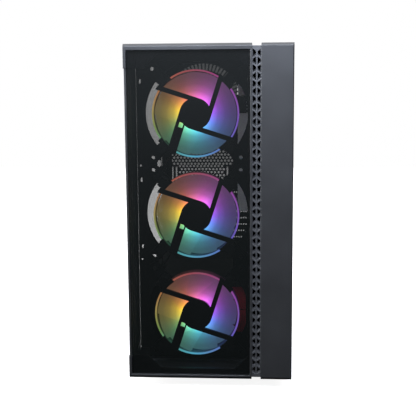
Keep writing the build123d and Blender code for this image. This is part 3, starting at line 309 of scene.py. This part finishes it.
def behind_glass(tree, across, back, up):
    """1 behind the front glass and within its outline, 0 elsewhere."""
    skin, margin = 0.0002, 0.0001
    middle = (GLASS_LOW + GLASS_HIGH) / 2
    half = (GLASS_HIGH - GLASS_LOW) / 2
    inside = maths(tree, "GREATER_THAN", back, GLASS_HIGH.y - skin)
    for value, centre, reach in ((across, middle.x, half.x), (up, middle.z, half.z)):
        gap = maths(tree, "ABSOLUTE", maths(tree, "SUBTRACT", value, centre))
        within = maths(tree, "LESS_THAN", gap, reach + margin)
        inside = maths(tree, "MULTIPLY", inside, within)
    return inside


def back_rim(tree, _across, back, _up):
    """1 along the side vent's rear rim, 0 elsewhere."""
    rim = 0.0012
    return maths(tree, "GREATER_THAN", back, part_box("front_side_vent")[1].y - rim)


def base_finish():
    """Satin paint, but bare black moulding where the front base lies behind the glass."""
    finish = satin("base_satin")
    tree, shader, inside = blacken(finish, behind_glass, (0.006, 0.0065, 0.007))
    outside = maths(tree, "SUBTRACT", 1.0, inside)
    tree.links.new(maths(tree, "MULTIPLY", outside, SATIN_METAL), shader.inputs["Metallic"])
    return finish


def vent_finish():
    """Satin paint, but bare black on the rear rim, which shows as a line through the glass."""
    finish = satin("vent_satin")
    blacken(finish, back_rim, grey(0.005))
    return finish


# ---- finishes of the CAD pieces ------------------------------------------------------
def paint(material, *names):
    for name in names:
        slots = nodes[name].data.materials
        slots.clear()
        slots.append(material)


def paint_front():
    paint(satin("frame_satin"), "front_side_cover")
    paint(base_finish(), "front_base")
    paint(surface("strip_satin", (0.185, 0.188, 0.195), (0.215, 0.218, 0.226), (0.40, 0.50),
                  grain=1200, relief=0.12, metal=0.85, rounded=0.0004), "front_grille_strip")
    paint(surface("vent_plastic", (0.008, 0.008, 0.009), (0.012, 0.012, 0.013), (0.4, 0.6)),
          "control_panel")
    paint(vent_finish(), "front_side_vent")
    paint(tinted_glass("front_tint", 0.38), "front_glass")
    paint(tinted_glass("side_tint", 0.30), "left_glass_panel")


def paint_fans():
    fan = surface("fan_plastic", (0.0045, 0.0045, 0.005), (0.007, 0.007, 0.008), (0.35, 0.5),
                  grain=1600, shine=0.14)
    paint(fan, "fan_frame_1", "fan_frame_2", "fan_frame_3", "cooler_fan_frame", "cooler_rotor",
          "psu_rotor")
    for number, centre in enumerate(FAN_CENTRES, start=1):
        paint(lit_ring(number, centre), f"fan_ring_{number}")
        paint(lit_blades(number, centre), f"fan_rotor_{number}")
    paint(surface("copper_wire", (0.30, 0.11, 0.04), (0.5, 0.2, 0.08), (0.25, 0.45), metal=0.9),
          "fan_stators")
    paint(surface("eyelet_steel", grey(0.02), grey(0.04), (0.3, 0.45), metal=1.0), "fan_eyelets")
    paint(surface("cable_sheath", grey(0.004), grey(0.008), (0.4, 0.6)), "fan_cables")


def paint_case():
    sheet = surface("painted_steel", (0.0055, 0.0055, 0.006), (0.0085, 0.0085, 0.009), (0.38, 0.5),
                    grain=1100, relief=0.22, shine=0.2)
    paint(sheet, "front_plate", "rear_panel", "base_plate", "top_panel", "motherboard_tray",
          "psu_shroud", "slot_covers", "left_panel_bracket", "right_side_panel", "drive_cage",
          "psu_housing")
    steel = surface("bright_steel", (0.42, 0.42, 0.43), (0.55, 0.55, 0.56), (0.25, 0.4), metal=1.0)
    paint(steel, "slot_cover_screws", "board_standoffs", "front_sockets", "rear_sockets",
          "io_shield", "psu_fan_grille")
    screws = surface("screw_steel", grey(0.012), grey(0.02), (0.3, 0.45), metal=0.5)
    paint(screws, "thumbscrew_left_lower", "thumbscrew_left_upper", "thumbscrew_right_lower",
          "thumbscrew_right_upper")
    paint(surface("foot_rubber", grey(0.012), grey(0.02), (0.75, 0.9), grain=500, relief=0.3),
          "feet")
    paint(surface("button_plastic", (0.01, 0.01, 0.011), (0.016, 0.016, 0.017), (0.25, 0.4)),
          "power_button", "reset_button", "psu_switch_rocker", "psu_inlet")
    paint(surface("filter_mesh", grey(0.01), grey(0.016), (0.6, 0.8)), "top_dust_filter",
          "psu_dust_filter")


def paint_insides():
    paint(surface("solder_mask", (0.006, 0.008, 0.008), (0.011, 0.014, 0.014), (0.3, 0.45),
                  grain=300), "motherboard", "control_board", "psu_circuit")
    paint(surface("connector_plastic", grey(0.01), grey(0.02), (0.35, 0.5)), "board_connectors")
    paint(surface("cooler_aluminium", (0.02, 0.021, 0.022), (0.035, 0.036, 0.038), (0.3, 0.45),
                  metal=0.9), "cooler_heatsink", "regulator_heatsink", "processor")
    paint(surface("memory_spreader", (0.62, 0.68, 0.65), (0.70, 0.76, 0.73), (0.4, 0.5),
                  metal=0.1), "memory_modules")
    paint(surface("caddy_plastic", srgb(150, 30, 34), srgb(168, 36, 40), (0.4, 0.55)),
          "drive_caddies")
    paint(surface("drive_case", (0.03, 0.03, 0.033), (0.05, 0.05, 0.055), (0.3, 0.45), metal=0.6),
          "solid_state_drive")


# ---- filter cloths the CAD leaves out ------------------------------------------------
CLOTH_THICKNESS = 0.0002
CLOTH_COLUMNS = 4
CLOTH_ROWS = 48
THREAD_SCALE = 420.0
# name, opacity, distance inside the rear face, from and to across, from and to in height
REAR_CLOTHS = (
    ("rear_vent_filter", 0.88, 0.0016, (-0.0865, 0.0235), (0.271, 0.389)),
    ("rear_field_filter", 0.75, 0.0016, (-0.0865, 0.0235), (0.199, 0.2605)),
    ("rear_slot_filter", 0.72, 0.0050, (-0.0355, 0.0520), (0.114, 0.193)),
)


def finish_piece(name, mesh, material, body):
    """Turn a bmesh into an object that rides on a body and takes its finish from a slot."""
    data = bpy.data.meshes.new(name)
    mesh.to_mesh(data)
    mesh.free()
    data.materials.append(material)
    piece = bpy.data.objects.new(name, data)
    bpy.context.scene.collection.objects.link(piece)
    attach(piece, body)


def woven_sheet(name, near, far, heights, material, body):
    """A thin upright sheet over the line from near to far, both (X, Y), between two heights."""
    mesh = bmesh.new()
    near_foot, near_head = (Vector((*near, height)) for height in heights)
    far_foot, far_head = (Vector((*far, height)) for height in heights)
    grid = []
    for row in range(CLOTH_ROWS + 1):
        left = near_foot.lerp(near_head, row / CLOTH_ROWS)
        right = far_foot.lerp(far_head, row / CLOTH_ROWS)
        grid.append([mesh.verts.new(left.lerp(right, column / CLOTH_COLUMNS))
                     for column in range(CLOTH_COLUMNS + 1)])
    for lower, upper in zip(grid, grid[1:]):
        for column in range(CLOTH_COLUMNS):
            mesh.faces.new((lower[column], lower[column + 1], upper[column + 1], upper[column]))
    bmesh.ops.solidify(mesh, geom=mesh.faces[:], thickness=CLOTH_THICKNESS)
    finish_piece(name, mesh, material, body)


def threads(tree, place, direction):
    wave = node(tree, "ShaderNodeTexWave", wave_type="BANDS", bands_direction=direction)
    wave.inputs["Scale"].default_value = THREAD_SCALE
    tree.links.new(place, wave.inputs["Vector"])
    return wave.outputs["Fac"]


def weave(name, dark, light, opacity):
    """Fine woven filter cloth that lets a little light through."""
    material, tree, shader, place = start(name)
    crossed = maths(tree, "MULTIPLY", threads(tree, place, "Z"), threads(tree, place, "DIAGONAL"))
    tree.links.new(ramp(tree, crossed, ((0.0, dark), (1.0, light))), shader.inputs["Base Color"])
    shader.inputs["Roughness"].default_value = 0.75
    shader.inputs["Alpha"].default_value = opacity
    bump(tree, shader, crossed, 0.3)
    return material


def make_side_vent_filter():
    """Cloth behind the side vent, leaning a little so that it follows the vent's back."""
    low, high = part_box("front_side_vent")
    cloth = weave("side_filter_cloth", (0.02, 0.03, 0.026), (0.03, 0.042, 0.037), 0.965)
    near = (high.x - 0.0026, low.y + 0.0055)
    far = (high.x + 0.0003, high.y - 0.003)
    woven_sheet("side_vent_filter", near, far, (low.z - 0.010, high.z + 0.006), cloth,
                "front_panel")


def make_grille_filter():
    """Cloth just behind the front grille strip."""
    low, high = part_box("front_grille_strip")
    cloth = weave("grille_filter_cloth", grey(0.004), grey(0.008), 0.995)
    gap, inset = 0.0006, 0.002
    woven_sheet("grille_filter", (low.x, high.y + gap), (high.x, high.y + gap),
                (low.z + inset, high.z - inset), cloth, "front_panel")


def make_rear_filters():
    """Cloths inside the rear panel, behind its vents and slots."""
    for name, opacity, inset, (left, right), heights in REAR_CLOTHS:
        inside = REAR_FACE - inset
        cloth = weave(f"{name}_cloth", (0.006, 0.007, 0.007), (0.02, 0.022, 0.022), opacity)
        woven_sheet(name, (left, inside), (right, inside), heights, cloth, "chassis")


# ---- board parts the CAD leaves out --------------------------------------------------
# Turned outlines as (height, radius), from the foot up.
TALL_CAN = ((0.0, 0.0027), (0.0006, 0.0027), (0.0010, 0.0023), (0.0016, 0.0026),
            (0.0085, 0.0026), (0.0092, 0.0022), (0.0092, 0.0018), (0.0090, 0.0015))
SHORT_CAN = ((0.0, 0.0030), (0.0006, 0.0030), (0.0010, 0.0024), (0.0014, 0.0028),
             (0.0052, 0.0028), (0.0057, 0.0024))
CELL = ((0.0, 0.0115), (0.0030, 0.0115), (0.0034, 0.0111), (0.0034, 0.0102), (0.0040, 0.0100),
        (0.0043, 0.0095))
# Chips as (distance from the rear edge, rise from the foot, depth, height).
CHIPS = ((0.215, 0.190, 0.012, 0.009), (0.200, 0.215, 0.007, 0.007), (0.062, 0.094, 0.014, 0.014),
         (0.110, 0.104, 0.006, 0.008), (0.125, 0.108, 0.006, 0.006), (0.205, 0.120, 0.010, 0.010))


def lathed(mesh, place, outline, sides=20):
    """A turned piece standing on the board along -X."""
    rings = []
    for height, radius in outline:
        angles = (2 * math.pi * side / sides for side in range(sides))
        rings.append([mesh.verts.new(place + Vector((-height, radius * math.cos(angle),
                                                     radius * math.sin(angle))))
                      for angle in angles])
    for lower, upper in zip(rings, rings[1:]):
        for side in range(sides):
            after = (side + 1) % sides
            mesh.faces.new((lower[side], lower[after], upper[after], upper[side]))
    mesh.faces.new(rings[0])
    mesh.faces.new(rings[-1])


def soft_box(mesh, middle, size, soften, profile):
    """A box with bevelled edges; profile is the bevel's, 0 stepped inwards to 1 square."""
    matrix = Matrix.Translation(middle) @ Matrix.Diagonal((*size, 1))
    made = bmesh.ops.create_cube(mesh, size=1.0, matrix=matrix)["verts"]
    edges = list({edge for vert in made for edge in vert.link_edges})
    bmesh.ops.bevel(mesh, geom=edges, offset=soften, segments=2, affect="EDGES", profile=profile)


def moulded(mesh, place, size, soften):
    """A low block on the board with softened edges; size is (height, depth, rise)."""
    soft_box(mesh, place + Vector((-size[0] / 2, 0, 0)), size, soften, 0.6)


def close_up(mesh):
    """Turn every face outwards."""
    bmesh.ops.recalc_face_normals(mesh, faces=mesh.faces[:])
    return mesh


def board_spot(back, rise):
    """A place on the board's face, measured forward from its rear edge and up from its foot."""
    low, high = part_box("motherboard")
    return Vector((low.x + 0.0001, high.y - back, low.z + rise))


def make_capacitors():
    """Rows of capacitors: six tall ones by the sockets, short ones elsewhere."""
    can = surface("capacitor_can", (0.03, 0.03, 0.033), (0.3, 0.3, 0.31), (0.25, 0.4),
                  grain=700, relief=0.1, metal=0.6)
    mesh = bmesh.new()
    for step in range(6):
        lathed(mesh, board_spot(0.0253, 0.130 + 0.009 * step), TALL_CAN)
        lathed(mesh, board_spot(0.170, 0.090 + 0.019 * step), SHORT_CAN)
    for step in range(5):
        lathed(mesh, board_spot(0.026, 0.020 + 0.012 * step), SHORT_CAN)
        lathed(mesh, board_spot(0.037, 0.024 + 0.012 * step), SHORT_CAN)
    finish_piece("board_capacitors", close_up(mesh), can, "chassis")


def make_chokes():
    """A row of moulded chokes along the top of the board."""
    finish = surface("choke_grey", (0.05, 0.05, 0.052), (0.09, 0.09, 0.093), (0.4, 0.55),
                     grain=800, relief=0.3)
    mesh = bmesh.new()
    for step in range(5):
        moulded(mesh, board_spot(0.062 + 0.015 * step, 0.233), (0.0068, 0.0098, 0.0090), 0.0009)
    finish_piece("board_chokes", close_up(mesh), finish, "chassis")


def make_chips():
    """Small flat chips, and one long low plate."""
    black = surface("chip_epoxy", (0.007, 0.007, 0.008), (0.013, 0.013, 0.014), (0.3, 0.5),
                    grain=1500)
    mesh = bmesh.new()
    for back, rise, wide, tall in CHIPS:
        moulded(mesh, board_spot(back, rise), (0.0013, wide, tall), 0.0003)
    moulded(mesh, board_spot(0.108, 0.069), (0.0026, 0.080, 0.0210), 0.0004)
    finish_piece("board_chips", close_up(mesh), black, "chassis")


def make_chipset_cooler():
    """A ribbed aluminium plate over the chipset."""
    finish = surface("chipset_aluminium", (0.10, 0.102, 0.108), (0.16, 0.163, 0.17), (0.25, 0.4),
                     grain=1200, relief=0.1, metal=0.9)
    sunk = Vector((-0.0028, 0, 0))
    mesh = bmesh.new()
    moulded(mesh, board_spot(0.194, 0.072), (0.0030, 0.042, 0.042), 0.0006)
    for step in range(6):
        moulded(mesh, board_spot(0.1765 + 0.007 * step, 0.072) + sunk, (0.0034, 0.0036, 0.039),
                0.0008)
    finish_piece("chipset_cooler", close_up(mesh), finish, "chassis")


def make_battery():
    """The coin cell that keeps the board's clock running, in its round holder."""
    steel = surface("cell_steel", (0.4, 0.4, 0.41), (0.55, 0.55, 0.56), (0.2, 0.35),
                    relief=0.05, metal=1.0)
    mesh = bmesh.new()
    lathed(mesh, board_spot(0.090, 0.106), CELL, sides=36)
    finish_piece("clock_cell", close_up(mesh), steel, "chassis")


def make_socket_blank():
    """A pressed blank in the rear shield, over the widest gap between two sockets."""
    steel = surface("blank_steel", (0.3, 0.3, 0.31), (0.4, 0.4, 0.41), (0.3, 0.45),
                    relief=0.1, metal=1.0)
    low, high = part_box("rear_sockets")
    middle = Vector(((low.x + high.x) / 2, REAR_FACE - 0.0016, low.z + 0.0740))
    mesh = bmesh.new()
    plate = (high.x - low.x, 0.0006, 0.0096)
    boss = (0.011, 0.0006, 0.0050)
    for size, shift in ((plate, 0.0), (boss, 0.0004)):
        soft_box(mesh, middle + Vector((0, shift, 0)), size, 0.0002, 0.0)
    finish_piece("socket_blank", close_up(mesh), steel, "chassis")


# ---- studio --------------------------------------------------------------------------
# Sky by height, 0 straight down and 1 straight up.
SKY = ((0.30, grey(0.004)), (0.48, grey(0.01)), (0.58, (0.04, 0.04, 0.042)),
       (0.75, (0.15, 0.15, 0.155)), (1.0, grey(0.36)))


def make_world():
    """White behind the tower; for light and reflections, bright overhead and dark below."""
    world = bpy.data.worlds.new("studio")
    bpy.context.scene.world = world
    world.use_nodes = True
    tree = world.node_tree
    background = tree.nodes["Background"]
    _x, _y, z = axes(tree, node(tree, "ShaderNodeTexCoord").outputs["Generated"])
    sky = ramp(tree, maths(tree, "MULTIPLY_ADD", z, 0.5, 0.5), SKY)
    rays = node(tree, "ShaderNodeLightPath")
    tree.links.new(mix(tree, rays.outputs["Is Camera Ray"], sky, (1, 1, 1)),
                   background.inputs["Color"])
    background.inputs["Strength"].default_value = 1.0


def make_floor():
    """A pale glowing floor that neither lights the tower nor shows in its reflections."""
    bpy.ops.mesh.primitive_plane_add(size=5.0, location=(0, 0, 0))
    floor = bpy.context.object
    floor.name = "floor"
    material, tree, shader, place = start("floor_paint")
    cloud = noise(tree, place, scale=3.0)
    tree.links.new(mottle(tree, cloud, grey(0.86), grey(0.88)), shader.inputs["Base Color"])
    shader.inputs["Roughness"].default_value = 0.9
    shader.inputs["Specular IOR Level"].default_value = 0.0
    shader.inputs["Emission Color"].default_value = (1, 1, 1, 1)
    shader.inputs["Emission Strength"].default_value = 0.9
    floor.data.materials.append(material)
    floor.visible_glossy = False
    floor.visible_diffuse = False


def lamp(name, place, target, size, power, colour=(1.0, 1.0, 1.0)):
    """A rectangular lamp at a place, facing a target."""
    data = bpy.data.lights.new(name, "AREA")
    data.shape = "RECTANGLE"
    data.size = size[0]
    data.size_y = size[1]
    data.energy = power
    data.color = colour
    made = bpy.data.objects.new(name, data)
    bpy.context.scene.collection.objects.link(made)
    made.location = place
    direction = Vector(target) - Vector(place)
    made.rotation_euler = direction.to_track_quat("-Z", "Y").to_euler()


def make_lights():
    """A cool softbox over the front, a weak lamp overhead, and fills on the left and behind."""
    lamp("front_softbox", place=(0.05, FRONT_Y - 0.55, 0.86), target=(0.03, FRONT_Y, 0.36),
         size=(0.9, 0.3), power=11.4, colour=(0.87, 0.95, 1.12))
    lamp("overhead", place=(0.0, 0.1, 1.8), target=(0.0, 0.0, 0.2), size=(1.6, 1.0), power=5)
    lamp("side_fill", place=(-1.6, -0.45, 0.9), target=(0.02, 0.0, 0.3), size=(0.8, 1.2), power=38)
    lamp("back_fill", place=(0.9, 1.7, 1.2), target=(0.0, 0.1, 0.2), size=(1.2, 1.2), power=26)


make_camera()
paint_front()
paint_fans()
paint_case()
paint_insides()
make_side_vent_filter()
make_grille_filter()
make_rear_filters()
make_capacitors()
make_chokes()
make_chips()
make_chipset_cooler()
make_battery()
make_socket_blank()
make_world()
make_floor()
make_lights()
bpy.context.scene.view_settings.view_transform = "Standard"
